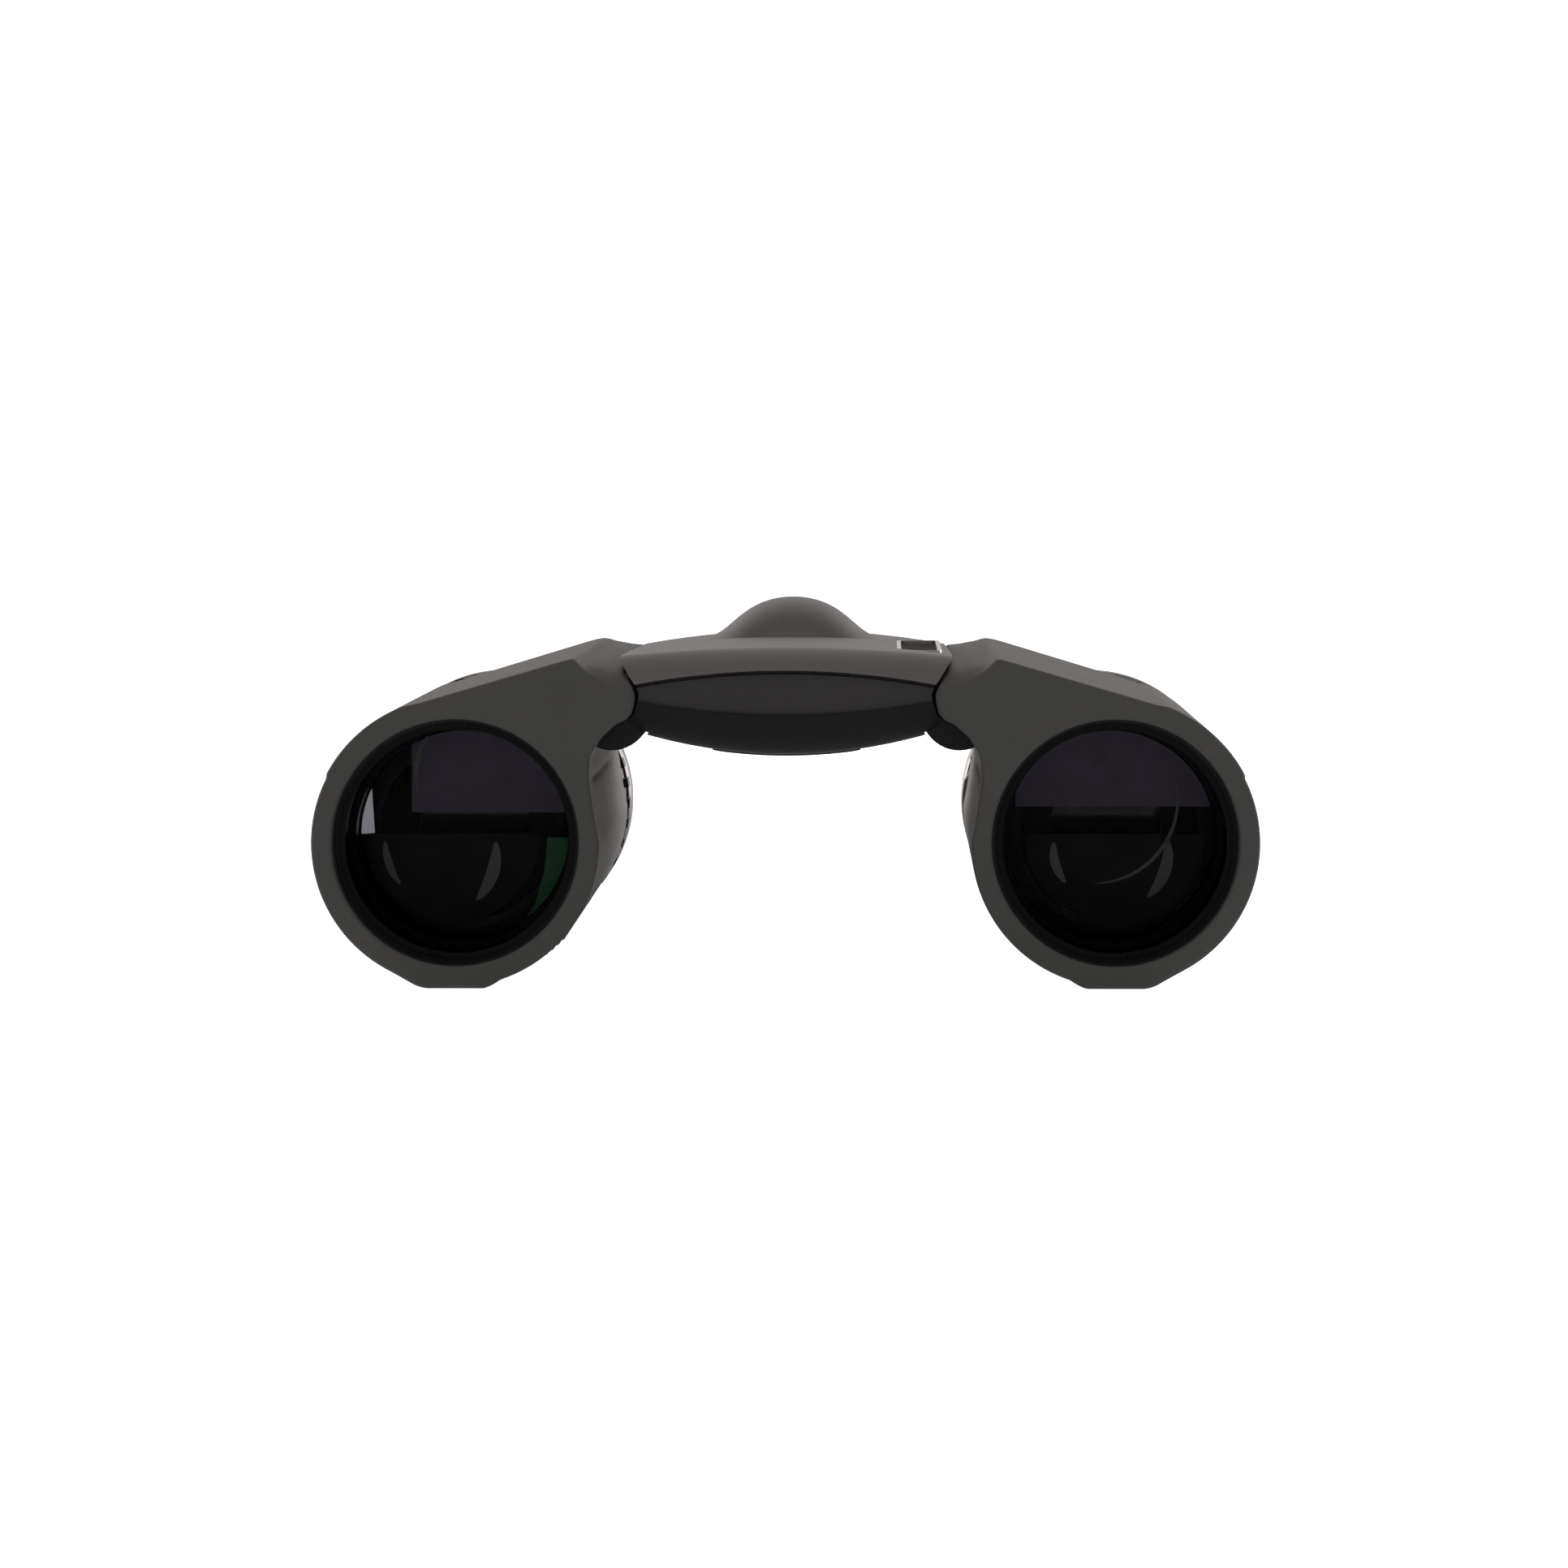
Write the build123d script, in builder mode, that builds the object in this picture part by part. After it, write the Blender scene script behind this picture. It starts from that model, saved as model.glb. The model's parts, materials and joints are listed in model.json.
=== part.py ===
"""Compact roof-prism binoculars with two hinges and a central focus wheel.

Millimetres, +Z up.  The optical axes run along Y: the objectives face -Y, the eyecups face +Y.
Depths are measured from the front rim toward the eyecups.
The side at -X is the one held in the right hand; the side at +X is its mirror image.
"""

from build123d import *
import os
from math import cos, radians, sin, sqrt

os.makedirs("parts", exist_ok=True)

# ---- driving dimensions -------------------------------------------------------------------
LENGTH = 108.0
FRONT_Y = -LENGTH / 2
BARREL_X = 37.5
BARREL_Z = 16.55
BODY_R = 16.4
PAD_R = 16.6
ARMOUR_T = 1.2
SKIN_T = 1.5
BORE_R = 13.6
MOUTH_R = 13.8
MOUTH_DEPTH = 4.2
BODY_END = 88.0

HINGE_X = 19.8
HINGE_Z = 31.3
KNUCKLE_R = 4.4
KNUCKLE_CLEAR_R = 4.75
PIN_R = 1.4
PIN_FIT = 0.03
TUBE_BORE_R = 2.7
ARM_SLOPE = 17.0

NOSE_END = 4.8
STUB_DEPTHS = (NOSE_END, 12.5)
FRONT_LUG_DEPTHS = (12.8, 15.8)
TUBE_DEPTHS = (16.1, 81.0)
REAR_LUG_DEPTHS = (81.3, 84.3)
REAR_KNUCKLE_DEPTHS = (84.6, BODY_END)

BRIDGE_FRONT = 0.3
BRIDGE_FULL = 6.8
BRIDGE_END = 86.0
LIP_END = 4.6
COVER_T = 1.6
COVER_SPLIT_Z = 33.0

WHEEL_Z = 34.2
WHEEL_R = 8.6
WHEEL_DEPTHS = (68.7, 79.7)
SHAFT_R = 1.6
COWL_BASE = 38.2
YOKE_DEPTHS = (53.0, 59.0)
YOKE_HALF_T = 0.9
RUNNING_FIT = 0.05

EYE_TUBE_R = 12.0
EYECUP_R = 16.5
EYECUP_START = 97.2


# ---- helpers ------------------------------------------------------------------------------
def at_depth(depth):
    """Upright plane at a depth; a negative extrusion from it goes toward the eyecups."""
    return Plane(origin=(0, FRONT_Y + depth, 0), x_dir=(1, 0, 0), z_dir=(0, -1, 0))


def lathe_plane(x, z):
    """Level plane through a fore-and-aft axis: local x is radius, local y is depth."""
    return Plane(origin=(x, FRONT_Y, z), x_dir=(1, 0, 0), z_dir=(0, 0, 1))


def turned(*points, x=-BARREL_X, z=BARREL_Z):
    """Solid turned about a fore-and-aft axis from (radius, depth) corners."""
    with BuildPart() as piece:
        with BuildSketch(lathe_plane(x, z)):
            Polygon(*points, align=None)
        revolve(axis=Axis((x, FRONT_Y, z), (0, 1, 0)))
    return piece


def ring(inner, outer, start, end, x=-BARREL_X, z=BARREL_Z):
    """Plain ring between two radii and two depths."""
    return turned((inner, start), (outer, start), (outer, end), (inner, end), x=x, z=z)


def rod(radius, start, end, x=-HINGE_X, z=HINGE_Z):
    """Plain rod lying fore and aft."""
    return ring(0, radius, start, end, x=x, z=z)


def prismatic(points, start, end):
    """Block with an upright outline of (x, z) corners, between two depths."""
    with BuildPart() as piece:
        with BuildSketch(at_depth(start)):
            Polygon(*points, align=None)
        extrude(amount=start - end)
    return piece


def block(x0, x1, z0, z1, start, end):
    """Box given by its limits."""
    return prismatic([(x0, z0), (x1, z0), (x1, z1), (x0, z1)], start, end)


def combined(first, plus=(), minus=(), both=()):
    """Join pieces to the first one, then cut others away, then keep what lies in the last."""
    with BuildPart() as piece:
        add(first.part)
        for other in plus:
            add(other.part)
        for other in minus:
            add(other.part, mode=Mode.SUBTRACT)
        for other in both:
            add(other.part, mode=Mode.INTERSECT)
    return piece


def mirrored(piece):
    """The same piece on the other side of the bridge."""
    with BuildPart() as other:
        mirror(piece.part, about=Plane.YZ)
    return other


def save(name, piece):
    """Label a piece and write it out."""
    piece.part.label = name
    export_step(piece.part, f"parts/{name}.step")


def on_circle(radius, angle, x=-BARREL_X, z=BARREL_Z):
    """Point at an angle on a circle about a fore-and-aft axis."""
    return (x + radius * cos(radians(angle)), z + radius * sin(radians(angle)))


# ---- barrel outlines ----------------------------------------------------------------------
ARM_TANGENT = on_circle(BODY_R, 90 + ARM_SLOPE)
ARM_CORNER = (-24.0, 37.75)
ARM_SHOULDER = (-19.15, 36.85)
ARM_LIP = (-18.3, 35.45)
INNER_EDGE = [(-20.9, 28.5), (-22.15, 26.4), (-22.3, 23.7), (-21.6, 19.1), (-21.1, BARREL_Z)]
ARM_POINTS = [ARM_TANGENT, ARM_CORNER, ARM_SHOULDER, ARM_LIP, (-HINGE_X, HINGE_Z), *INNER_EDGE,
              (-BARREL_X, BARREL_Z)]
NOSE_POINTS = [ARM_TANGENT, (-24.04, 37.56), (-22.56, 35.95), (-20.4, 34.6), (-17.3, 34.2),
               (-16.95, 33.4), (-17.45, 31.2), (-18.2, 30.45), (-19.06, 30.15), *INNER_EDGE,
               (-BARREL_X, BARREL_Z)]


def barrel_block(arm_points, inset, start, end):
    """Barrel and arm in one block, with the outline moved inward by the inset."""
    with BuildPart() as piece:
        with BuildSketch(at_depth(start)):
            with Locations((-BARREL_X, BARREL_Z)):
                Circle(BODY_R)
            Polygon(*arm_points, align=None)
            if inset:
                offset(amount=-inset, kind=Kind.INTERSECTION)
        extrude(amount=start - end)
    return piece


def ring_sector(inner, outer, angle_from, angle_to, start, end):
    """Part of a ring about the barrel axis between two angles."""
    middle = (angle_from + angle_to) / 2
    with BuildPart() as piece:
        with BuildSketch(at_depth(start)):
            with BuildLine():
                outer_arc = ThreePointArc(
                    on_circle(outer, angle_from), on_circle(outer, middle), on_circle(outer, angle_to)
                )
                inner_arc = ThreePointArc(
                    on_circle(inner, angle_to), on_circle(inner, middle), on_circle(inner, angle_from)
                )
                Line(outer_arc @ 1, inner_arc @ 0)
                Line(inner_arc @ 1, outer_arc @ 0)
            make_face()
        extrude(amount=start - end)
    return piece


# ---- cutting tools at the hinge -----------------------------------------------------------
SCOOP_RIGHT = -12.0
SCOOP_TOP = 41.0
SCOOP_STATIONS = [
    (-0.01, [(-24.04, 37.56), (-22.56, 35.95), (-20.4, 34.6), (-17.2, 34.2)]),
    (12.0, [(-24.04, 37.7), (-22.56, 36.9), (-20.4, 36.25), (-17.2, 36.1)]),
    (50.0, [(-24.04, 37.8), (-22.56, 37.3), (-20.4, 36.9), (-17.2, 36.6)]),
]
scoop_outlines = []
for station, floor_points in SCOOP_STATIONS:
    with BuildSketch(at_depth(station)) as scoop_outline:
        Polygon(*floor_points, (SCOOP_RIGHT, floor_points[-1][1]), (SCOOP_RIGHT, SCOOP_TOP),
                (floor_points[0][0], SCOOP_TOP), align=None)
    scoop_outlines.append(scoop_outline.sketch.face())
with BuildPart() as scoop:
    loft(sections=scoop_outlines, ruled=True)

front_pocket = rod(KNUCKLE_CLEAR_R, STUB_DEPTHS[1], TUBE_DEPTHS[0])
rear_pocket = rod(KNUCKLE_CLEAR_R, TUBE_DEPTHS[1], REAR_KNUCKLE_DEPTHS[0])
stub = rod(KNUCKLE_R, *STUB_DEPTHS)
tube = rod(KNUCKLE_R, *TUBE_DEPTHS)
rear_knuckle = rod(KNUCKLE_R, *REAR_KNUCKLE_DEPTHS)
front_pin = rod(PIN_R, 6.0, 19.5)
rear_pin = rod(PIN_R, 76.5, BODY_END - SKIN_T)
mouth = rod(MOUTH_R, -1, MOUTH_DEPTH, x=-BARREL_X, z=BARREL_Z)
tube_bore = rod(TUBE_BORE_R, 20.0, 76.5)
bore = rod(BORE_R, -1, 86.0, x=-BARREL_X, z=BARREL_Z)
eye_bore = rod(EYE_TUBE_R, 80, 95, x=-BARREL_X, z=BARREL_Z)

WINDOW_FROM = -79.0
WINDOW_TO = 30.0
WINDOW_DEPTHS = (YOKE_DEPTHS[0] - 3.3, YOKE_DEPTHS[1] + 3.3)
window_corners = [(-HINGE_X, HINGE_Z)]
for corner_angle in (WINDOW_FROM, -25.0, WINDOW_TO):
    window_corners.append(on_circle(KNUCKLE_R * 1.7, corner_angle, -HINGE_X, HINGE_Z))
yoke_window = prismatic(window_corners, *WINDOW_DEPTHS)

ARM_RISE = HINGE_Z - BARREL_Z
ARM_RUN = BARREL_X - HINGE_X
HINGE_TO_BARREL = sqrt(ARM_RISE**2 + ARM_RUN**2)


def radial_bar(half_width, near, far, start, end):
    """Bar along the line from the hinge axis to the barrel axis, at two distances from the hinge."""
    ux = -ARM_RUN / HINGE_TO_BARREL
    uz = -ARM_RISE / HINGE_TO_BARREL
    corners = []
    for reach, side in ((near, 1), (far, 1), (far, -1), (near, -1)):
        corners.append((-HINGE_X + reach * ux - side * half_width * uz,
                        HINGE_Z + reach * uz + side * half_width * ux))
    return prismatic(corners, start, end)


DRIVE_DEPTHS = (25.5, 29.5)
SLOT_DEPTHS = (DRIVE_DEPTHS[0] - 3.3, DRIVE_DEPTHS[1] + 3.3)
drive_slot = radial_bar(1.6, 0, HINGE_TO_BARREL - 10, *SLOT_DEPTHS)

# ---- housing ------------------------------------------------------------------------------
nose_core = barrel_block(NOSE_POINTS, ARMOUR_T, SKIN_T, NOSE_END)
arm_core = barrel_block(ARM_POINTS, ARMOUR_T, NOSE_END, BODY_END)
neck = rod(14.6, BODY_END - 1, 90.2, x=-BARREL_X, z=BARREL_Z)
housing = combined(
    nose_core,
    plus=[arm_core, stub, tube, rear_knuckle, neck],
    minus=[scoop, front_pocket, rear_pocket, bore, mouth, eye_bore, front_pin, rear_pin, tube_bore,
           yoke_window, drive_slot],
)

# ---- rubber armour ------------------------------------------------------------------------
PAD_DEPTHS = (0.0, 82.0)
UPPER_PAD = (112.0, 152.0)
upper_pad = ring_sector(BODY_R - 0.5, PAD_R, *UPPER_PAD, *PAD_DEPTHS)
FOOT_HALF = 4.0
nose_block = barrel_block(NOSE_POINTS, 0, 0, NOSE_END)
arm_block = barrel_block(ARM_POINTS, 0, NOSE_END, BODY_END - 0.8)
foot = prismatic([on_circle(BODY_R, 236), (-BARREL_X - FOOT_HALF, 0), (-BARREL_X + FOOT_HALF, 0),
                  on_circle(BODY_R, 287)], *PAD_DEPTHS)
knuckle_space = rod(KNUCKLE_R, NOSE_END, BODY_END)
armour_shape = combined(
    nose_block,
    plus=[arm_block, upper_pad, foot],
    minus=[scoop, knuckle_space, front_pocket, rear_pocket],
)
armour_shell = combined(armour_shape,
                        minus=[combined(nose_core, minus=[scoop]), combined(arm_core, minus=[scoop]),
                               mouth, drive_slot])

GRIP_RIB_ANGLES = [292.0 + 3.0 * step for step in range(9)]
GRIP_DEPTHS = (8.0, 84.0)
with BuildPart() as armour:
    add(armour_shell.part)
    with BuildSketch(at_depth(GRIP_DEPTHS[0])):
        for rib_angle in GRIP_RIB_ANGLES:
            with Locations(on_circle(BODY_R, rib_angle)):
                Circle(0.32)
    extrude(amount=GRIP_DEPTHS[0] - GRIP_DEPTHS[1])

# ---- hinge pins ---------------------------------------------------------------------------
hinge_pins = combined(front_pin, plus=[rear_pin])

# ---- objective ----------------------------------------------------------------------------
CELL_FIT = 0.02
CELL_R = BORE_R - CELL_FIT
OBJECTIVE_R = 13.0
CELL_REAR_R = 12.3
objective_cell = turned(
    (OBJECTIVE_R, 5.9), (CELL_R, 5.9), (CELL_R, 18.0), (CELL_REAR_R, 18.0),
    (CELL_REAR_R, 14.4), (OBJECTIVE_R, 14.4),
)
RETAINER_INNER = 12.8
RETAINER_DEPTHS = (MOUTH_DEPTH, 5.9)
retainer_ring = ring(RETAINER_INNER, CELL_R, *RETAINER_DEPTHS)
with BuildPart() as objective_retainer:
    add(retainer_ring.part)
    with BuildSketch(at_depth(RETAINER_DEPTHS[0])):
        with Locations((-BARREL_X, BARREL_Z)):
            with PolarLocations(RETAINER_INNER, 2, start_angle=80):
                Rectangle(1.6, 2.0)
    extrude(amount=-0.9, mode=Mode.SUBTRACT)


def lens(radius, start, end, front_bulge, rear_bulge):
    """Lens with spherical faces; a positive bulge stands out beyond the edge depth."""
    with BuildPart() as piece:
        with BuildSketch(lathe_plane(-BARREL_X, BARREL_Z)):
            with BuildLine():
                rim = Line((radius, start), (radius, end))
                rear = SagittaArc(rim @ 1, (-radius, end), -rear_bulge)
                Line(rear @ 1, (-radius, start))
                SagittaArc((-radius, start), rim @ 0, -front_bulge)
            make_face()
            with Locations((-radius / 2 - 1, (start + end) / 2)):
                Rectangle(radius + 2, 60, mode=Mode.SUBTRACT)
        revolve(axis=Axis((-BARREL_X, FRONT_Y, BARREL_Z), (0, 1, 0)))
    return piece


objective_lens = lens(OBJECTIVE_R, 8.2, 14.4, 1.7, -0.6)

# ---- focusing cell, its guide and its lens ------------------------------------------------
GUIDE_BORE_R = 12.2
FOCUS_CELL_R = GUIDE_BORE_R - RUNNING_FIT
FOCUS_LENS_R = 10.4
FOCUS_CELL_DEPTHS = (24.5, 30.5)
guide_ring = ring(GUIDE_BORE_R, CELL_R, 19.0, 35.0)
focus_guide = combined(guide_ring, minus=[drive_slot])
cell_ring = ring(FOCUS_LENS_R, FOCUS_CELL_R, *FOCUS_CELL_DEPTHS)
drive_bar = radial_bar(1.2, 1.9, HINGE_TO_BARREL - 11.5, *DRIVE_DEPTHS)
drive_eye = rod(2.4, *DRIVE_DEPTHS)
rod_hole = rod(SHAFT_R + RUNNING_FIT, 0, LENGTH)
focus_lens_cell = combined(cell_ring, plus=[drive_bar, drive_eye], minus=[rod_hole])
focus_lens = lens(FOCUS_LENS_R, 25.5, 29.5, -1.2, -0.6)

# ---- prisms -------------------------------------------------------------------------------
PRISM_HALF = 7.2
PRISM_FRONT = 41.0
PRISM_SLOPE_TOP = 44.0
PRISM_SLOPE_BOTTOM = 50.0
PRISM_GAP = 0.5
PRISM_REAR = 62.0


def prism(*corners):
    """Block of glass from (depth, height above the optical axis) corners."""
    with BuildPart() as piece:
        side = Plane(origin=(-BARREL_X - PRISM_HALF, FRONT_Y, BARREL_Z),
                     x_dir=(0, 1, 0), z_dir=(1, 0, 0))
        with BuildSketch(side):
            Polygon(*corners, align=None)
        extrude(amount=2 * PRISM_HALF)
    return piece


half_prism = prism((PRISM_FRONT, -PRISM_HALF), (PRISM_FRONT, PRISM_HALF),
                   (PRISM_SLOPE_TOP, PRISM_HALF), (PRISM_SLOPE_BOTTOM, -PRISM_HALF))
roof_block = prism((PRISM_SLOPE_TOP + PRISM_GAP, PRISM_HALF),
                   (PRISM_SLOPE_BOTTOM + PRISM_GAP, -PRISM_HALF),
                   (PRISM_REAR - 4, -PRISM_HALF), (PRISM_REAR, -PRISM_HALF / 2),
                   (PRISM_REAR, PRISM_HALF))
roof_outline = [(-BARREL_X - PRISM_HALF, BARREL_Z - PRISM_HALF),
                (-BARREL_X + PRISM_HALF, BARREL_Z - PRISM_HALF),
                (-BARREL_X + PRISM_HALF, BARREL_Z), (-BARREL_X, BARREL_Z + PRISM_HALF),
                (-BARREL_X - PRISM_HALF, BARREL_Z)]
roof_limits = prismatic(roof_outline, 30, 70)
roof_prism = combined(roof_block, both=[roof_limits])

cage_front = rod(CELL_R, 38.0, 40.4, x=-BARREL_X, z=BARREL_Z)
cage_rear = rod(CELL_R, 63.0, 65.4, x=-BARREL_X, z=BARREL_Z)
cage_hole = rod(6.6, 30, 70, x=-BARREL_X, z=BARREL_Z)
cage_shell = rod(CELL_R, 40.4, 63.0, x=-BARREL_X, z=BARREL_Z)
cage_cuts = []
for side_sign in (-1, 1):
    cage_cuts.append(block(-BARREL_X - 15, -BARREL_X + 15,
                           min(BARREL_Z + side_sign * 7.6, BARREL_Z + side_sign * 20),
                           max(BARREL_Z + side_sign * 7.6, BARREL_Z + side_sign * 20), 40.4, 63.0))
cage_room = block(-BARREL_X - 7.6, -BARREL_X + 7.6, BARREL_Z - 10, BARREL_Z + 10, 40.4, 63.0)
cage_seat = block(-BARREL_X - 7.6, -BARREL_X + 7.6, BARREL_Z - 8.6, BARREL_Z - PRISM_HALF,
                  40.4, 63.0)
cage_walls = combined(cage_shell, minus=[*cage_cuts, cage_room])
prism_cage = combined(cage_walls, plus=[cage_front, cage_rear, cage_seat], minus=[cage_hole])
field_stop = ring(8.0, CELL_R, 66.2, 67.4)

# ---- eyepiece -----------------------------------------------------------------------------
OCULAR_R = 10.2
OCULAR_FIT = 0.05
EYE_LENS_R = 8.6
eyepiece_tube = turned(
    (OCULAR_R, 70.0), (CELL_R, 70.0), (CELL_R, 72.0), (EYE_TUBE_R - 0.02, 73.0),
    (EYE_TUBE_R - 0.02, 104.5), (OCULAR_R + 1.0, 104.5), (OCULAR_R + 1.0, 103.6), (OCULAR_R, 103.6),
)
ocular_cell = turned(
    (7.4, 71.6), (OCULAR_R - OCULAR_FIT, 71.6), (OCULAR_R - OCULAR_FIT, 102.4), (8.0, 102.4),
    (8.0, 101.6), (EYE_LENS_R, 101.0), (EYE_LENS_R, 96.0), (7.8, 95.2), (7.8, 80.4),
    (EYE_LENS_R, 79.6), (EYE_LENS_R, 73.2), (7.4, 73.0),
)
field_lens = lens(EYE_LENS_R, 74.4, 78.8, 0.8, 0.8)
eye_lens = lens(EYE_LENS_R, 96.8, 100.0, 0.6, 0.6)

# ---- ring in front of the eyecup: ribbed on one side, scalloped on the other ---------------
RING_R = 15.9
RING_BORE_R = EYE_TUBE_R + RUNNING_FIT
RIB_COUNT = 40
RIB_HEIGHT = 0.6
SCALLOP_COUNT = 12
ring_blank = turned(
    (RING_BORE_R, 90.6), (15.0, 90.6), (RING_R, 91.3), (RING_R, 96.1), (15.3, 96.8),
    (RING_BORE_R, 96.8),
)
with BuildPart() as right_diopter_ring:
    add(ring_blank.part)
    with BuildSketch(at_depth(91.4)):
        with Locations((-BARREL_X, BARREL_Z)):
            with PolarLocations(RING_R + RIB_HEIGHT / 2 - 0.2, RIB_COUNT):
                Rectangle(RIB_HEIGHT + 0.4, 1.1)
    extrude(amount=-4.6)

SCALLOP_R = 16.45
scallop_blank = turned(
    (EYE_TUBE_R - 0.02, 90.6), (15.4, 90.6), (SCALLOP_R, 91.6), (SCALLOP_R, 96.0), (15.8, 96.8),
    (EYE_TUBE_R - 0.02, 96.8), x=BARREL_X,
)
with BuildPart() as left_eyepiece_ring:
    add(scallop_blank.part)
    with BuildSketch(at_depth(90)):
        with Locations((BARREL_X, BARREL_Z)):
            with PolarLocations(SCALLOP_R + 3.1, SCALLOP_COUNT, start_angle=15):
                Circle(3.5)
    extrude(amount=-8, mode=Mode.SUBTRACT)

# ---- twist-up eyecup ----------------------------------------------------------------------
CAM_R = 13.2
SLEEVE_BORE_R = CAM_R + RUNNING_FIT
SLEEVE_R = 16.0
RIM_R = 10.4
eyecup_cam = ring(EYE_TUBE_R + RUNNING_FIT, CAM_R, EYECUP_START, 104.2)
eyecup_sleeve = ring(SLEEVE_BORE_R, SLEEVE_R, EYECUP_START, 105.6)
eyecup_rubber = turned(
    (SLEEVE_R, 97.5), (EYECUP_R - 0.3, 97.5), (EYECUP_R, 98.2), (EYECUP_R, 104.6),
    (EYECUP_R - 1.2, 106.6), (14.2, LENGTH - 0.2), (13.2, LENGTH), (12.2, LENGTH - 0.3),
    (RIM_R + 0.4, 106.6), (RIM_R, 105.8), (RIM_R, 105.6), (SLEEVE_R, 105.6),
)

# ---- bridge envelope ----------------------------------------------------------------------
TOP_Z = 38.6
TOP_EDGE_Z = 37.62
BOTTOM_Z = 26.4
BOTTOM_EDGE_Z = 29.6
ENVELOPE_HALF = 19.06
REAR_TOP_EDGE_Z = 36.85


def lens_outline(half, top_z, top_edge_z, bottom_z, bottom_edge_z, depth):
    """Upright outline between two shallow arcs, closed by short straight ends."""
    with BuildSketch(at_depth(depth)) as outline:
        with BuildLine():
            top = ThreePointArc((-half, top_edge_z), (0, top_z), (half, top_edge_z))
            bottom = ThreePointArc((half, bottom_edge_z), (0, bottom_z), (-half, bottom_edge_z))
            Line(top @ 1, bottom @ 0)
            Line(bottom @ 1, top @ 0)
        make_face()
    return outline


FACE_TOP_Z = 36.3
FACE_TOP_EDGE_Z = 34.3
FACE_BOTTOM_Z = 30.9
FACE_BOTTOM_EDGE_Z = 32.9
face_sizes = (FACE_TOP_Z, FACE_TOP_EDGE_Z, FACE_BOTTOM_Z, FACE_BOTTOM_EDGE_Z)
full_sizes = (TOP_Z, TOP_EDGE_Z, BOTTOM_Z, BOTTOM_EDGE_Z)
front_faces = []
for share in (0.0, 0.22, 0.46, 0.72, 1.0):
    rise = share * (2 - share)
    sizes = [face + (full - face) * rise for face, full in zip(face_sizes, full_sizes)]
    outline = lens_outline(ENVELOPE_HALF, *sizes, BRIDGE_FRONT + (BRIDGE_FULL - BRIDGE_FRONT) * share)
    front_faces.append(outline.sketch.face())
rear_outline = lens_outline(ENVELOPE_HALF, TOP_Z, REAR_TOP_EDGE_Z, BOTTOM_Z, BOTTOM_EDGE_Z, BRIDGE_END)
with BuildPart() as envelope_front:
    loft(sections=front_faces)
with BuildPart() as envelope_back:
    loft(sections=[front_faces[-1], rear_outline.sketch.face()], ruled=True)
inner_outline = lens_outline(13.4, TOP_Z - COVER_T, TOP_Z - COVER_T - 0.5, BOTTOM_Z + COVER_T,
                             BOTTOM_Z + COVER_T + 1.6, FRONT_LUG_DEPTHS[0] - 0.3)
with BuildPart() as cavity:
    extrude(inner_outline.sketch.face(), amount=FRONT_LUG_DEPTHS[0] - REAR_LUG_DEPTHS[1] - 0.6)

# ---- gap between the bridge and a barrel arm ----------------------------------------------
SEAM_TOP = [(-26, 41), (-18.75, 41), (-18.75, 37.7), (-18.98, 37.55), (-18.98, 37.3),
            (-18.65, 36.9)]
lip_gap = prismatic([*SEAM_TOP, (-17.7, 35.4), (-17.0, 34.4), (-16.6, 33.4), (-16.75, 32.5),
                     (-17.15, 31.2), (-17.85, 30.3), (-15.65, 28.45), (-15.65, 20), (-26, 20)],
                    -1, LIP_END)
body_gap = prismatic([*SEAM_TOP, (-17.9, 35.65), (-HINGE_X, HINGE_Z), (-15.65, 28.45),
                      (-15.65, 20), (-26, 20)], LIP_END, LENGTH)
hinge_gap = rod(KNUCKLE_CLEAR_R, LIP_END, LENGTH)
gap_tools = [lip_gap, body_gap, hinge_gap]
gap_tools += [mirrored(tool) for tool in gap_tools]

NECK_Z = (29.9, 33.6)
passages = []
for start, end in (FRONT_LUG_DEPTHS, REAR_LUG_DEPTHS):
    passages.append(block(-22, 22, NECK_Z[0] - 0.3, NECK_Z[1] + 0.3, start - 0.3, end + 0.3))
yoke_passage = block(-22, 22, HINGE_Z - YOKE_HALF_T - 0.5, COVER_SPLIT_Z + 0.1, *WINDOW_DEPTHS)

# ---- cowl in front of the focus wheel and belly under it ----------------------------------
COWL_SHAPE = [(10.5, 0.0), (8.2, 0.24), (6.7, 0.50), (5.2, 0.72), (3.4, 0.89), (0.0, 1.0)]
COWL_STATIONS = [(54.5, 0.3, 0.80), (56.2, 2.2, 0.88), (59.0, 3.7, 0.95), (63.0, 4.6, 1.0),
                 (68.2, 5.0, 1.0)]
COWL_ROOT_Z = 36.2
cowl_sections = []
for station, height, spread in COWL_STATIONS:
    half_points = [(x * spread, COWL_BASE + height * z) for x, z in COWL_SHAPE]
    other_half = [(-x, z) for x, z in reversed(half_points[:-1])]
    with BuildSketch(at_depth(station)) as cowl_section:
        with BuildLine():
            crest = Spline(*half_points, *other_half)
            Polyline(crest @ 1, (half_points[0][0] * -1, COWL_ROOT_Z),
                     (half_points[0][0], COWL_ROOT_Z), crest @ 0)
        make_face()
    cowl_sections.append(cowl_section.sketch.face())
with BuildPart() as cowl:
    loft(sections=cowl_sections)

BELLY_R = 10.4
belly = turned((0, 54), (7.6, 54), (BELLY_R, 63), (BELLY_R, 82), (8.6, BRIDGE_END), (0, BRIDGE_END),
               x=0, z=WHEEL_Z)
wheel_pocket = rod(WHEEL_R + 0.5, WHEEL_DEPTHS[0] - 0.5, WHEEL_DEPTHS[1] + 0.5, x=0, z=WHEEL_Z)
boss_room = rod(3.3, 49.0, 68.3, x=0, z=WHEEL_Z)
end_cap_room = rod(3.2, 84.5, LENGTH, x=0, z=WHEEL_Z)

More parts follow.
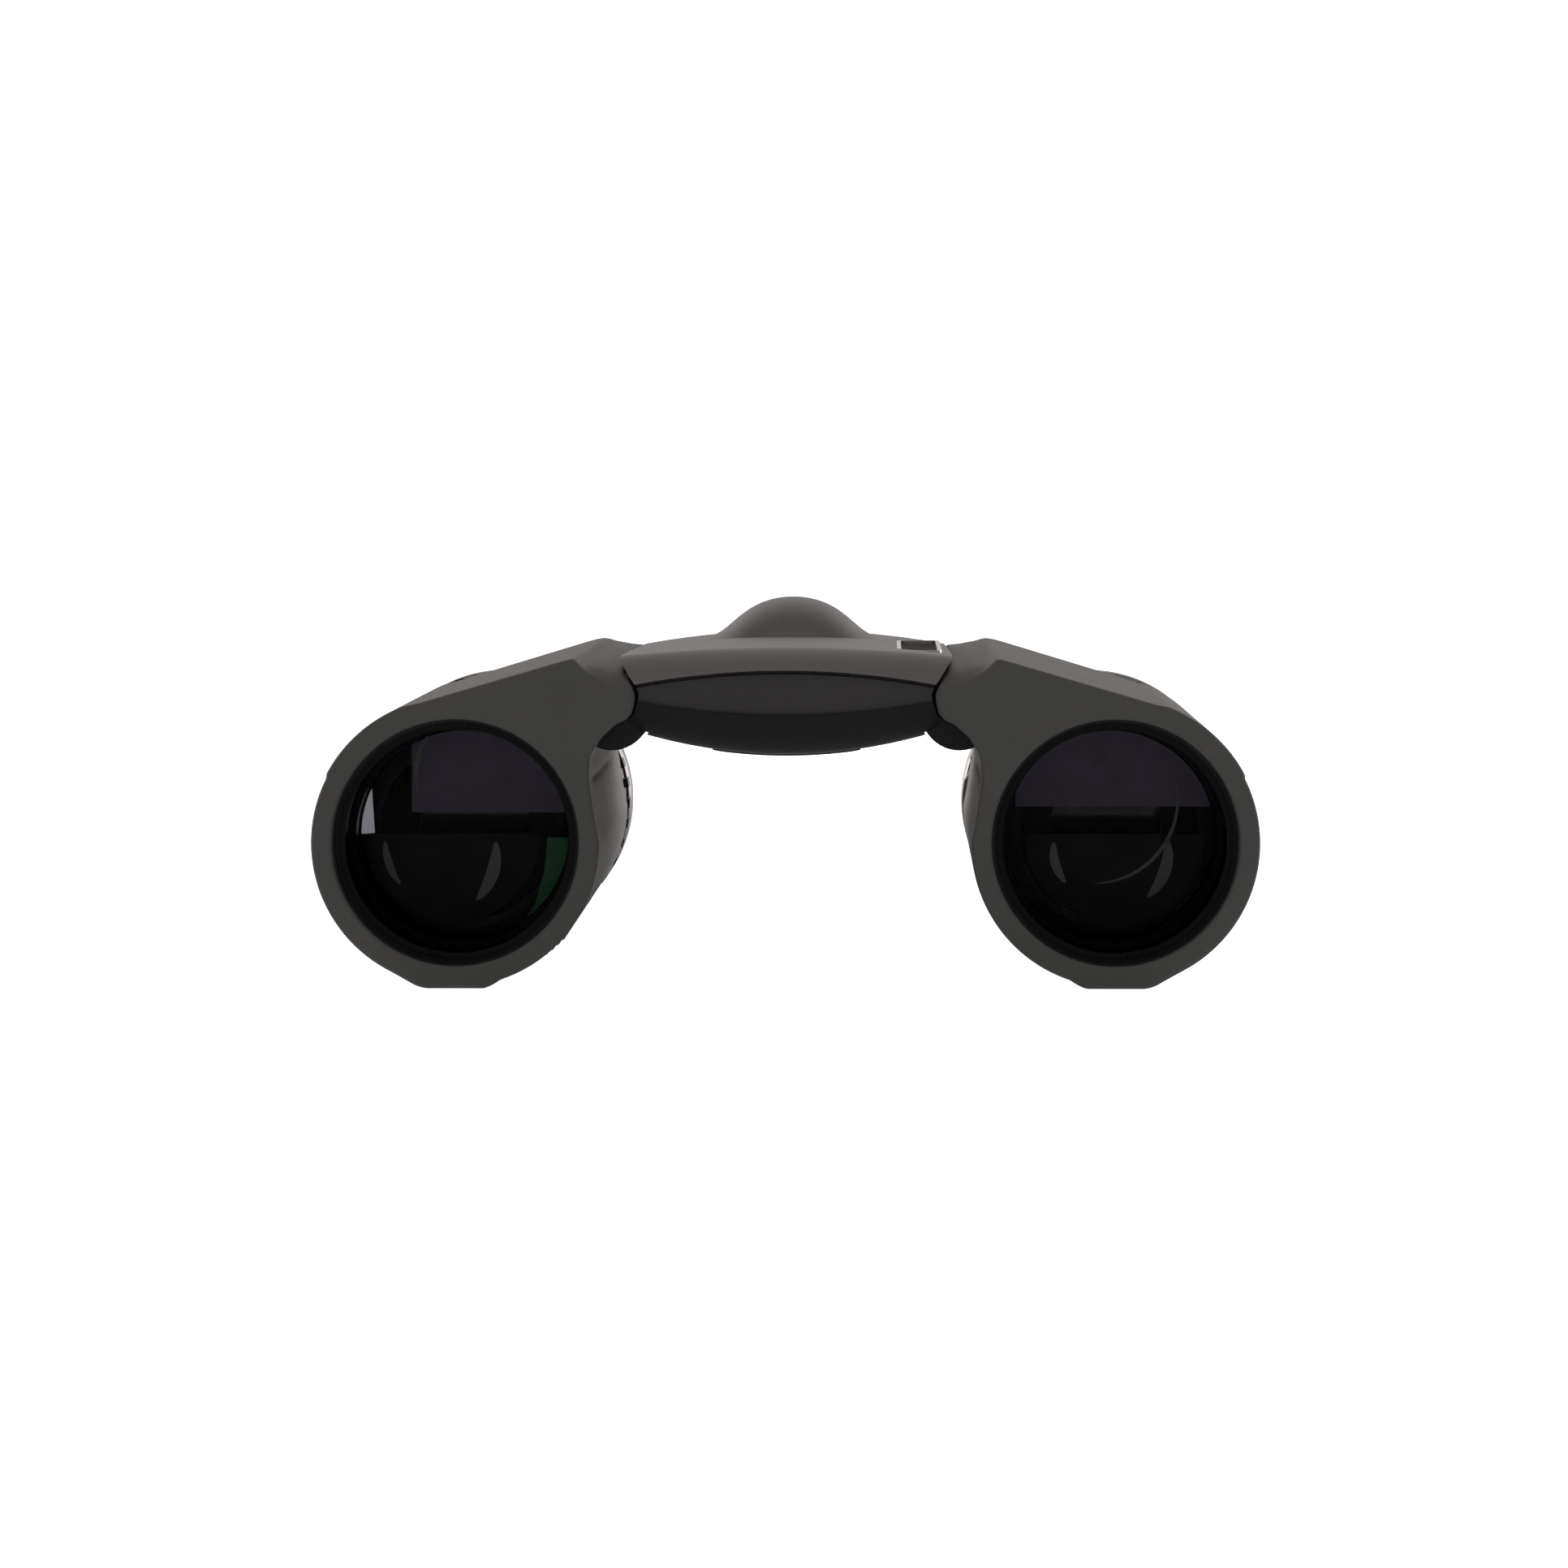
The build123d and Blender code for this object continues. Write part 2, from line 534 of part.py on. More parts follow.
FACE_DEPTHS = (0.8, 2.6)
FACE_LIP = 0.15
FACE_GROOVE = 0.45
room_outline = lens_outline(ENVELOPE_HALF, FACE_TOP_Z - FACE_LIP, FACE_TOP_EDGE_Z - FACE_LIP,
                            FACE_BOTTOM_Z + FACE_LIP, FACE_BOTTOM_EDGE_Z + FACE_LIP,
                            FACE_DEPTHS[0])
insert_outline = lens_outline(ENVELOPE_HALF, FACE_TOP_Z - FACE_LIP - FACE_GROOVE,
                              FACE_TOP_EDGE_Z - FACE_LIP - FACE_GROOVE,
                              FACE_BOTTOM_Z + FACE_LIP, FACE_BOTTOM_EDGE_Z + FACE_LIP,
                              FACE_DEPTHS[0])
with BuildPart() as insert_blank:
    extrude(insert_outline.sketch.face(), amount=FACE_DEPTHS[0] - FACE_DEPTHS[1])
bridge_front_insert = combined(insert_blank, minus=gap_tools)
with BuildPart() as insert_room:
    extrude(room_outline.sketch.face(), amount=FACE_DEPTHS[0] - FACE_DEPTHS[1], both=True)

upper_space = block(-30, 30, COVER_SPLIT_Z, 60, -1, LENGTH)
lower_space = block(-30, 30, 0, COVER_SPLIT_Z, -1, LENGTH)
shared_cuts = [cavity, insert_room, *gap_tools, *passages, yoke_passage, wheel_pocket, boss_room,
               end_cap_room]

# ---- inset plate with a bright rim, on top at the +X end -----------------------------------
PLATE_X = 15.3
PLATE_DEPTHS = (20.0, 64.0)
PLATE_WIDTH = 5.2
PLATE_Z = (36.95, 37.9)
plate_centre_y = FRONT_Y + sum(PLATE_DEPTHS) / 2
plate_length = PLATE_DEPTHS[1] - PLATE_DEPTHS[0]
with BuildPart() as inset_rim:
    with BuildSketch(Plane.XY.offset(PLATE_Z[0])):
        with Locations((PLATE_X, plate_centre_y)):
            RectangleRounded(PLATE_WIDTH, plate_length, 1.0)
            RectangleRounded(PLATE_WIDTH - 1.0, plate_length - 1.0, 0.6, mode=Mode.SUBTRACT)
    extrude(amount=PLATE_Z[1] - PLATE_Z[0])
with BuildPart() as inset_plate:
    with BuildSketch(Plane.XY.offset(PLATE_Z[0])):
        with Locations((PLATE_X, plate_centre_y)):
            RectangleRounded(PLATE_WIDTH - 1.0, plate_length - 1.0, 0.6)
    extrude(amount=0.5)
with BuildPart() as inset_room:
    with BuildSketch(Plane.XY.offset(PLATE_Z[0])):
        with Locations((PLATE_X, plate_centre_y)):
            RectangleRounded(PLATE_WIDTH, plate_length, 1.0)
    extrude(amount=5)

bridge_top_cover = combined(envelope_front, plus=[envelope_back, cowl],
                            minus=[*shared_cuts, inset_room, lower_space])

# ---- underside pad and cover screws -------------------------------------------------------
SCREW_PLACES = [(-11.0, 21.0), (11.0, 21.0), (-11.0, 46.0), (11.0, 46.0)]
SCREW_HEAD_R = 1.4
SCREW_SHANK_R = 0.8
SCREW_TOP_Z = 33.6
with BuildPart() as bridge_screws:
    for screw_x, screw_depth in SCREW_PLACES:
        with BuildSketch(Plane.XY.offset(27.6)):
            with Locations((screw_x, FRONT_Y + screw_depth)):
                Circle(SCREW_HEAD_R)
                Rectangle(1.6, 0.4, mode=Mode.SUBTRACT)
        extrude(amount=0.9)
        with BuildSketch(Plane.XY.offset(28.1)):
            with Locations((screw_x, FRONT_Y + screw_depth)):
                Circle(SCREW_SHANK_R)
        extrude(amount=SCREW_TOP_Z - 28.1)
with BuildPart() as screw_room:
    for screw_x, screw_depth in SCREW_PLACES:
        with BuildSketch(Plane.XY.offset(20)):
            with Locations((screw_x, FRONT_Y + screw_depth)):
                Circle(SCREW_HEAD_R)
        extrude(amount=8.5)
        with BuildSketch(Plane.XY.offset(28.1)):
            with Locations((screw_x, FRONT_Y + screw_depth)):
                Circle(SCREW_SHANK_R)
        extrude(amount=SCREW_TOP_Z - 28.1)

UNDER_PAD_DEPTHS = (9.0, 50.0)
UNDER_PAD_HALF = 8.5
PAD_RELIEF = 0.3
pad_outline = lens_outline(ENVELOPE_HALF, BOTTOM_Z + 1.0, BOTTOM_EDGE_Z + 1.0, BOTTOM_Z - PAD_RELIEF,
                           BOTTOM_EDGE_Z - PAD_RELIEF, UNDER_PAD_DEPTHS[0])
with BuildPart() as pad_band:
    extrude(pad_outline.sketch.face(), amount=UNDER_PAD_DEPTHS[0] - UNDER_PAD_DEPTHS[1])
with BuildPart() as pad_limits:
    with BuildSketch(Plane.XY.offset(20)):
        with Locations((0, FRONT_Y + sum(UNDER_PAD_DEPTHS) / 2)):
            RectangleRounded(2 * UNDER_PAD_HALF, UNDER_PAD_DEPTHS[1] - UNDER_PAD_DEPTHS[0], 2.0)
            with GridLocations(0, 3.0, 1, 12):
                RectangleRounded(2 * UNDER_PAD_HALF - 3.0, 1.2, 0.5, mode=Mode.SUBTRACT)
    extrude(amount=BOTTOM_Z + 0.95 - 20)
underside_pad = combined(pad_band, both=[pad_limits])

bridge_bottom_cover = combined(envelope_front, plus=[envelope_back, belly],
                               minus=[*shared_cuts, upper_space, screw_room, underside_pad])

# ---- chassis inside the bridge -------------------------------------------------------------
RAIL_Z = (33.4, 35.8)
RAIL_X = (9.4, 12.8)
pin_hole = rod(PIN_R + PIN_FIT, -1, LENGTH + 1)
shaft_hole = rod(SHAFT_R + RUNNING_FIT, 40, 90, x=0, z=WHEEL_Z)
chassis_start = block(-12.8, 12.8, NECK_Z[0], RAIL_Z[1], *FRONT_LUG_DEPTHS)
chassis_adds = [
    block(-12.8, 12.8, NECK_Z[0], RAIL_Z[1], *REAR_LUG_DEPTHS),
    block(-12.8, 12.8, RAIL_Z[0], RAIL_Z[1], 64.0, 67.0),
    rod(2.7, 64.0, 67.0, x=0, z=WHEEL_Z),
    rod(2.7, *REAR_LUG_DEPTHS, x=0, z=WHEEL_Z),
]
for side_sign in (-1, 1):
    rail_edges = sorted((side_sign * RAIL_X[0], side_sign * RAIL_X[1]))
    chassis_adds.append(block(*rail_edges, *RAIL_Z, FRONT_LUG_DEPTHS[0], REAR_LUG_DEPTHS[1]))
for start, end in (FRONT_LUG_DEPTHS, REAR_LUG_DEPTHS):
    chassis_adds.append(block(-HINGE_X, HINGE_X, *NECK_Z, start, end))
    for hinge_x in (-HINGE_X, HINGE_X):
        chassis_adds.append(rod(KNUCKLE_R, start, end, x=hinge_x))
bridge_chassis = combined(chassis_start, plus=chassis_adds,
                          minus=[pin_hole, mirrored(pin_hole), shaft_hole, screw_room])

# ---- focus wheel, shaft and yoke ----------------------------------------------------------
HUB_R = 7.4
focus_shaft = rod(SHAFT_R, 49.5, 84.4, x=0, z=WHEEL_Z)
focus_wheel_hub = ring(SHAFT_R, HUB_R, 69.2, 79.2, x=0, z=WHEEL_Z)
grip_blank = turned((HUB_R, WHEEL_DEPTHS[0]), (WHEEL_R - 0.5, WHEEL_DEPTHS[0]),
                    (WHEEL_R, WHEEL_DEPTHS[0] + 0.5), (WHEEL_R, WHEEL_DEPTHS[1] - 0.5),
                    (WHEEL_R - 0.5, WHEEL_DEPTHS[1]), (HUB_R, WHEEL_DEPTHS[1]), x=0, z=WHEEL_Z)
GRIP_GROOVES = 32
with BuildPart() as focus_wheel_grip:
    add(grip_blank.part)
    with BuildSketch(at_depth(WHEEL_DEPTHS[0] + 1.0)):
        with Locations((0, WHEEL_Z)):
            with PolarLocations(WHEEL_R + 0.1, GRIP_GROOVES):
                Circle(0.45)
    extrude(amount=WHEEL_DEPTHS[0] - WHEEL_DEPTHS[1] + 2.0, mode=Mode.SUBTRACT)
focus_end_cap = turned((0, 84.7), (3.15, 84.7), (3.15, 86.2), (2.6, 86.6), (0, 86.6), x=0, z=WHEEL_Z)

NUT_R = 2.3
YOKE_BOSS_R = 2.75
focus_nut = ring(SHAFT_R + RUNNING_FIT, NUT_R, YOKE_DEPTHS[0] - 0.4, YOKE_DEPTHS[1] + 0.4,
                 x=0, z=WHEEL_Z)
yoke_bar = block(-HINGE_X, HINGE_X, HINGE_Z - YOKE_HALF_T, HINGE_Z + YOKE_HALF_T, *YOKE_DEPTHS)
focus_yoke = combined(
    yoke_bar,
    plus=[rod(2.3, *YOKE_DEPTHS), rod(2.3, *YOKE_DEPTHS, x=HINGE_X),
          rod(YOKE_BOSS_R, *YOKE_DEPTHS, x=0, z=WHEEL_Z),
          block(-2.0, 2.0, HINGE_Z, WHEEL_Z, *YOKE_DEPTHS)],
    minus=[rod(SHAFT_R, 40, 70), rod(SHAFT_R, 40, 70, x=HINGE_X),
           rod(NUT_R, 40, 70, x=0, z=WHEEL_Z)],
)
COLLAR_R = 2.4
push_rod = combined(rod(SHAFT_R, 22.8, YOKE_DEPTHS[1]),
                    plus=[rod(COLLAR_R, 23.2, 25.4), rod(COLLAR_R, 29.6, 31.8)])

# ---- write the pieces ---------------------------------------------------------------------
side_pieces = {
    "housing": housing,
    "armour": armour,
    "hinge_pins": hinge_pins,
    "objective_cell": objective_cell,
    "objective_retainer": objective_retainer,
    "objective_lens": objective_lens,
    "focus_guide": focus_guide,
    "focus_lens_cell": focus_lens_cell,
    "focus_lens": focus_lens,
    "half_prism": half_prism,
    "roof_prism": roof_prism,
    "prism_cage": prism_cage,
    "field_stop": field_stop,
    "eyepiece_tube": eyepiece_tube,
    "ocular_cell": ocular_cell,
    "field_lens": field_lens,
    "eye_lens": eye_lens,
    "eyecup_cam": eyecup_cam,
    "eyecup_sleeve": eyecup_sleeve,
    "eyecup_rubber": eyecup_rubber,
    "push_rod": push_rod,
}
for piece_name, side_piece in side_pieces.items():
    save(f"right_{piece_name}", side_piece)
    save(f"left_{piece_name}", mirrored(side_piece))

centre_pieces = {
    "right_diopter_ring": right_diopter_ring,
    "left_eyepiece_ring": left_eyepiece_ring,
    "bridge_chassis": bridge_chassis,
    "bridge_top_cover": bridge_top_cover,
    "bridge_bottom_cover": bridge_bottom_cover,
    "bridge_front_insert": bridge_front_insert,
    "bridge_screws": bridge_screws,
    "underside_pad": underside_pad,
    "inset_rim": inset_rim,
    "inset_plate": inset_plate,
    "focus_shaft": focus_shaft,
    "focus_wheel_hub": focus_wheel_hub,
    "focus_wheel_grip": focus_wheel_grip,
    "focus_end_cap": focus_end_cap,
    "focus_nut": focus_nut,
    "focus_yoke": focus_yoke,
}
for piece_name, centre_piece in centre_pieces.items():
    save(piece_name, centre_piece)
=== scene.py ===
"""Compact two-hinge binoculars: detailed outer pieces, materials, soft studio light and camera.

Shapes are worked out in millimetres in the shared frame and scaled to metres when a mesh is made.
x is across, z is up, and a depth d is measured from the front rim toward the eyecups.
"""

import json

import bmesh
import bpy
from math import atan2, cos, degrees, hypot, pi, radians, sin, sqrt
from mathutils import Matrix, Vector


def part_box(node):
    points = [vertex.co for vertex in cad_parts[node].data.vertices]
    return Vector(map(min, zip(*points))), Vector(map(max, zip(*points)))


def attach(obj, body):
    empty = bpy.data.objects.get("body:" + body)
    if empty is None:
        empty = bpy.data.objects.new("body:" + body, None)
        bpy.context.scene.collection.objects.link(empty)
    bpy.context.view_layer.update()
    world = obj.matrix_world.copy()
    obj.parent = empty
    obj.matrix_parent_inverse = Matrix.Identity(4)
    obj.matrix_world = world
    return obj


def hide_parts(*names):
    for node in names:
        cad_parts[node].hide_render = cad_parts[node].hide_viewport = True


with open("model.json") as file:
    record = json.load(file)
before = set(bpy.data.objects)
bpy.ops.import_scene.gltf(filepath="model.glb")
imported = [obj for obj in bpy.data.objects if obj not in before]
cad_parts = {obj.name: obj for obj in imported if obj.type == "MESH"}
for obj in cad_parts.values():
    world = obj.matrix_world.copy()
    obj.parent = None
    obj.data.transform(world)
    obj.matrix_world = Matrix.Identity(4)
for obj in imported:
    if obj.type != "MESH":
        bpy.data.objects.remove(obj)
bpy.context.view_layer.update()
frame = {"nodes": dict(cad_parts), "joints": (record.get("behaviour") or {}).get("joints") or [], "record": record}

MM = 0.001
SIDES = {"right": -1, "left": 1}
NODES = frame["nodes"]
FRONT_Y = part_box("right_armour")[0].y / MM
JOINTS = {joint["name"]: joint for joint in frame["joints"]}

# ---- places taken from the frame ----------------------------------------------------------
retainer_low, retainer_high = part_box("right_objective_retainer")
BARREL_X = -(retainer_low.x + retainer_high.x) / 2 / MM
BARREL_Z = (retainer_low.z + retainer_high.z) / 2 / MM
HINGE_X = -JOINTS["right_hinge"]["pos_m"][0] / MM
HINGE_Z = JOINTS["right_hinge"]["pos_m"][2] / MM
BODY_R = -BARREL_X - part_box("right_armour")[0].x / MM
BODY_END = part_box("right_armour")[1].y / MM - FRONT_Y

# ---- camera: a long lens, a little above the bridge and a little to the +X side ------------
CAMERA_AT = Vector((11.8, FRONT_Y - 792.0, 60.6)) * MM
CAMERA_AIM = Vector((-0.12, FRONT_Y, 23.3)) * MM
camera_data = bpy.data.cameras.new("camera")
camera_data.lens = 160.6
camera_data.sensor_width = 36
camera_data.clip_start = 0.05
camera_data.clip_end = 30
camera = bpy.data.objects.new("camera", camera_data)
bpy.context.scene.collection.objects.link(camera)
camera.location = CAMERA_AT
camera.rotation_euler = (CAMERA_AIM - CAMERA_AT).to_track_quat("-Z", "Y").to_euler()
bpy.context.scene.camera = camera


# ---- materials ----------------------------------------------------------------------------
def surface(name, colour, roughness=0.5, vary=0.15, grain=0.0, grain_size=0.3, metallic=0.0,
            specular=0.5, sheen=0.0, coat=0.0, wear=0.0, wear_colour=None, rough_vary=0.08):
    """Procedural material: colour mottle, grain bump, roughness variation and worn edges."""
    material = bpy.data.materials.new(name)
    material.use_nodes = True
    tree = material.node_tree
    shader = tree.nodes["Principled BSDF"]
    new = tree.nodes.new
    link = tree.links.new
    place = new("ShaderNodeTexCoord")
    mottle = new("ShaderNodeTexNoise")
    mottle.inputs["Scale"].default_value = 180.0
    mottle.inputs["Detail"].default_value = 6.0
    link(place.outputs["Object"], mottle.inputs["Vector"])
    dark = tuple(c * (1 - vary) for c in colour)
    light = tuple(c * (1 + vary) for c in colour)
    ramp = new("ShaderNodeMix")
    ramp.data_type = "RGBA"
    ramp.inputs["A"].default_value = (*dark, 1)
    ramp.inputs["B"].default_value = (*light, 1)
    link(mottle.outputs["Fac"], ramp.inputs["Factor"])
    result = ramp.outputs["Result"]
    if wear:
        geometry = new("ShaderNodeNewGeometry")
        edge = new("ShaderNodeMapRange")
        edge.inputs["From Min"].default_value = 0.53
        edge.inputs["From Max"].default_value = 0.60
        edge.inputs["To Max"].default_value = wear
        link(geometry.outputs["Pointiness"], edge.inputs["Value"])
        worn = new("ShaderNodeMix")
        worn.data_type = "RGBA"
        link(edge.outputs["Result"], worn.inputs["Factor"])
        link(result, worn.inputs["A"])
        worn.inputs["B"].default_value = (*(wear_colour or tuple(c * 2 for c in colour)), 1)
        result = worn.outputs["Result"]
    link(result, shader.inputs["Base Color"])
    rough_range = new("ShaderNodeMapRange")
    rough_range.inputs["To Min"].default_value = roughness - rough_vary
    rough_range.inputs["To Max"].default_value = roughness + rough_vary
    link(mottle.outputs["Fac"], rough_range.inputs["Value"])
    link(rough_range.outputs["Result"], shader.inputs["Roughness"])
    if grain:
        fine = new("ShaderNodeTexNoise")
        fine.inputs["Scale"].default_value = 1.0 / (grain_size * MM)
        fine.inputs["Detail"].default_value = 3.0
        link(place.outputs["Object"], fine.inputs["Vector"])
        bump = new("ShaderNodeBump")
        bump.inputs["Strength"].default_value = grain
        bump.inputs["Distance"].default_value = 0.05 * MM
        link(fine.outputs["Fac"], bump.inputs["Height"])
        link(bump.outputs["Normal"], shader.inputs["Normal"])
    shader.inputs["Metallic"].default_value = metallic
    shader.inputs["Specular IOR Level"].default_value = specular
    shader.inputs["Sheen Weight"].default_value = sheen
    shader.inputs["Sheen Roughness"].default_value = 0.5
    shader.inputs["Coat Weight"].default_value = coat
    shader.inputs["Coat Roughness"].default_value = 0.15
    return material


def painted_glow(material, colour, strength):
    """Give a material a faint glow: painted light for glass that light comes through from behind, though the piece
    is no lamp.
    """
    shader = material.node_tree.nodes["Principled BSDF"]
    shader.inputs["Emission Color"].default_value = (*colour, 1)
    shader.inputs["Emission Strength"].default_value = strength
    return material


def glass(name, tint, alpha, specular, coat=0.0):
    """Dark coated glass: partly clear, with a soft reflection and a faint mottled tint."""
    material = surface(name, tint, roughness=0.03, vary=0.1, specular=specular, rough_vary=0.01)
    shader = material.node_tree.nodes["Principled BSDF"]
    shader.inputs["Alpha"].default_value = alpha
    shader.inputs["Coat Weight"].default_value = coat
    shader.inputs["Coat Roughness"].default_value = 0.02
    return material


RUBBER = surface("rubber_grip", (0.070, 0.072, 0.070), 0.60, grain=0.55, grain_size=0.22,
                 specular=0.2, sheen=0.05, wear=0.15, wear_colour=(0.12, 0.118, 0.115), vary=0.1)
BRIDGE = surface("bridge_paint", (0.118, 0.111, 0.114), 0.40, grain=0.2, grain_size=0.12,
                 specular=0.25, wear=0.2, wear_colour=(0.13, 0.13, 0.13), vary=0.06,
                 rough_vary=0.04)
# painted shade: the bridge's lower cover gets a much darker copy of the bridge paint because it faces down, away
# from the light
LOWER = surface("lower_bridge_painted_shade", (0.008, 0.0078, 0.008), 0.42, grain=0.2, grain_size=0.12,
                specular=0.15, wear=0.2, vary=0.08, rough_vary=0.04)
INSERT = surface("insert_paint", (0.030, 0.030, 0.030), 0.45, grain=0.35, grain_size=0.15,
                 specular=0.3, vary=0.08, rough_vary=0.04)
BLACK = surface("black_plastic", (0.007, 0.007, 0.0075), 0.48, grain=0.2, specular=0.22, wear=0.2)
GLOSS = surface("gloss_plastic", (0.010, 0.010, 0.011), 0.20, specular=0.5, coat=0.3)
RING = surface("ring_rubber", (0.020, 0.020, 0.022), 0.5, grain=0.5, grain_size=0.2, specular=0.4,
               wear=0.4)
EYECUP = surface("eyecup_rubber", (0.055, 0.055, 0.062), 0.36, grain=0.4, specular=0.5, sheen=0.1,
                 wear=0.3)
ANODISED = surface("anodised_black", (0.003, 0.003, 0.0032), 0.34, specular=0.1, wear=0.15)
CAST = surface("painted_casting", (0.020, 0.020, 0.021), 0.5, grain=0.5, specular=0.4, wear=0.4)
STEEL = surface("ground_steel", (0.55, 0.55, 0.57), 0.28, metallic=1.0, grain=0.2)
BRASS = surface("turned_brass", (0.65, 0.48, 0.20), 0.3, metallic=1.0, grain=0.2)
CHROME = surface("bright_rim", (0.70, 0.70, 0.71), 0.16, metallic=1.0, vary=0.05)
LENS = glass("coated_lens", (0.004, 0.003, 0.006), 0.08, 0.2)
PRISM = glass("prism_glass", (0.05, 0.05, 0.06), 0.5, 0.5)
# painted reflections behind the objective glass: violet, green and glint plates glow faintly, umber is painted
# shade
VIOLET_PAINTED_REFLECTION = painted_glow(surface("violet_painted_reflection", (0.055, 0.047, 0.075), 0.35, vary=0.5, specular=0.2),
             (0.55, 0.42, 0.85), 0.006)
UMBER_PAINTED_SHADE = surface("umber_painted_shade", (0.017, 0.0145, 0.015), 0.7, vary=0.2, specular=0.02)
GREEN_PAINTED_REFLECTION = painted_glow(surface("green_painted_reflection", (0.010, 0.070, 0.028), 0.35, vary=0.5, specular=0.2),
            (0.06, 0.8, 0.25), 0.006)
PALE_PAINTED_GLINT = painted_glow(surface("pale_glass_edge", (0.85, 0.82, 0.92), 0.3, vary=0.1),
                 (0.9, 0.86, 1), 0.12)
SOFT_PAINTED_GLINT = painted_glow(surface("soft_glass_edge", (0.045, 0.043, 0.045), 0.4, vary=0.3),
                 (1, 0.95, 1), 0.0035)
INLAY = surface("inlay_plate", (0.022, 0.018, 0.015), 0.7, vary=0.3, grain=0.3, specular=0.05)
RIBBED = surface("ribbed_ring", (0.13, 0.13, 0.135), 0.42, grain=0.4, grain_size=0.2, specular=0.3)
NODE_LOOK = {"bridge_bottom_cover": LOWER, "bridge_front_insert": INSERT,
             "right_diopter_ring": RIBBED, "inset_plate": INLAY}
SLOT_LOOK = {
    "armour_rubber": RUBBER, "housing_plastic": BLACK, "bridge_plastic": BRIDGE,
    "gloss_black_plastic": GLOSS, "ring_rubber": RING, "eyecup_rubber": EYECUP,
    "black_aluminium": ANODISED, "cast_aluminium": CAST, "pin_steel": STEEL, "nut_brass": BRASS,
    "bright_chrome": CHROME, "coated_glass": LENS, "prism_glass": PRISM,
}
for entry in frame["record"]["subparts"]:
    node_mesh = NODES[entry["node"]].data
    node_mesh.materials.clear()
    look = NODE_LOOK.get(entry["node"], SLOT_LOOK[entry["material_slot"]])
    node_mesh.materials.append(look)


# the ribbed ring is pale between its ribs and black on them
RIB_BASE_R, RIB_TIP_R = 16.05, 16.20
ring_tree = RIBBED.node_tree
ring_place = ring_tree.nodes.new("ShaderNodeTexCoord")
ring_centre = ring_tree.nodes.new("ShaderNodeVectorMath")
ring_centre.operation = "SUBTRACT"
ring_centre.inputs[1].default_value = (BARREL_X * MM, 0, BARREL_Z * MM)
ring_flat = ring_tree.nodes.new("ShaderNodeVectorMath")
ring_flat.operation = "MULTIPLY"
ring_flat.inputs[1].default_value = (1, 0, 1)
ring_radius = ring_tree.nodes.new("ShaderNodeVectorMath")
ring_radius.operation = "LENGTH"
ring_edge = ring_tree.nodes.new("ShaderNodeMapRange")
ring_edge.inputs["From Min"].default_value = RIB_BASE_R * MM
ring_edge.inputs["From Max"].default_value = RIB_TIP_R * MM
ring_mix = ring_tree.nodes.new("ShaderNodeMix")
ring_mix.data_type = "RGBA"
ring_mix.inputs["B"].default_value = (0.004, 0.004, 0.005, 1)
ring_shader = ring_tree.nodes["Principled BSDF"]
ring_tree.links.new(ring_shader.inputs["Base Color"].links[0].from_socket, ring_mix.inputs["A"])
ring_tree.links.new(ring_place.outputs["Object"], ring_centre.inputs[0])
ring_tree.links.new(ring_centre.outputs["Vector"], ring_flat.inputs[0])
ring_tree.links.new(ring_flat.outputs["Vector"], ring_radius.inputs[0])
ring_tree.links.new(ring_radius.outputs["Value"], ring_edge.inputs["Value"])
ring_tree.links.new(ring_edge.outputs["Result"], ring_mix.inputs["Factor"])
ring_tree.links.new(ring_mix.outputs["Result"], ring_shader.inputs["Base Color"])


# ---- mesh helpers -------------------------------------------------------------------------
def step(low, high, value):
    """Smooth rise from 0 to 1 between two values."""
    t = min(1.0, max(0.0, (value - low) / (high - low)))
    return t * t * (3 - 2 * t)


def at_angle(radius, angle, centre):
    """Point on a circle, with the angle in degrees from the +X side upward."""
    return (centre[0] + radius * cos(radians(angle)), centre[1] + radius * sin(radians(angle)))


def evenly(points, count):
    """A number of points spaced evenly along a polyline, ends included."""
    lengths = [hypot(b[0] - a[0], b[1] - a[1]) for a, b in zip(points, points[1:])]
    total = sum(lengths)
    result = []
    for i in range(count):
        target = total * i / (count - 1)
        k = 0
        while k < len(lengths) - 1 and target > lengths[k]:
            target -= lengths[k]
            k += 1
        t = min(1.0, target / lengths[k]) if lengths[k] else 0.0
        a, b = points[k], points[k + 1]
        result.append((a[0] + (b[0] - a[0]) * t, a[1] + (b[1] - a[1]) * t))
    return result


def softened(points, rounds, first, last):
    """Closed outline with its corners eased by repeated averaging between two indices."""
    points = list(points)
    count = len(points)
    for _ in range(rounds):
        old = list(points)
        for i in range(first, last):
            a, b, c = old[i - 1], old[i], old[(i + 1) % count]
            points[i] = ((a[0] + 2 * b[0] + c[0]) / 4, (a[1] + 2 * b[1] + c[1]) / 4)
    return points


NORMAL_REACH = 3
EASE_PER_MM = 6


def moved_in(points, amount):
    """Closed clockwise outline moved inward along its normals, with tight corners eased."""
    result = []
    count = len(points)
    for i, (x, z) in enumerate(points):
        ax, az = points[i - NORMAL_REACH]
        bx, bz = points[(i + NORMAL_REACH) % count]
        tx, tz = bx - ax, bz - az
        size = hypot(tx, tz) or 1.0
        result.append((x + amount * tz / size, z - amount * tx / size))
    return softened(result, round(EASE_PER_MM * amount), len(ANGLES), count)


def skin(name, rings, look, body, side, smooth_angle):
    """Mesh through closed rings of (x, z, depth) points; side 1 keeps x, -1 mirrors it."""
    count = len(rings[0])
    verts = []
    for ring_points in rings:
        verts += [(side * x * MM, (FRONT_Y + d) * MM, z * MM) for x, z, d in ring_points]
    faces = []
    for r in range(len(rings) - 1):
        for i in range(count):
            j = (i + 1) % count
            faces.append((r * count + i, r * count + j, (r + 1) * count + j, (r + 1) * count + i))
    return mesh_piece(name, verts, faces, look, body, smooth_angle)


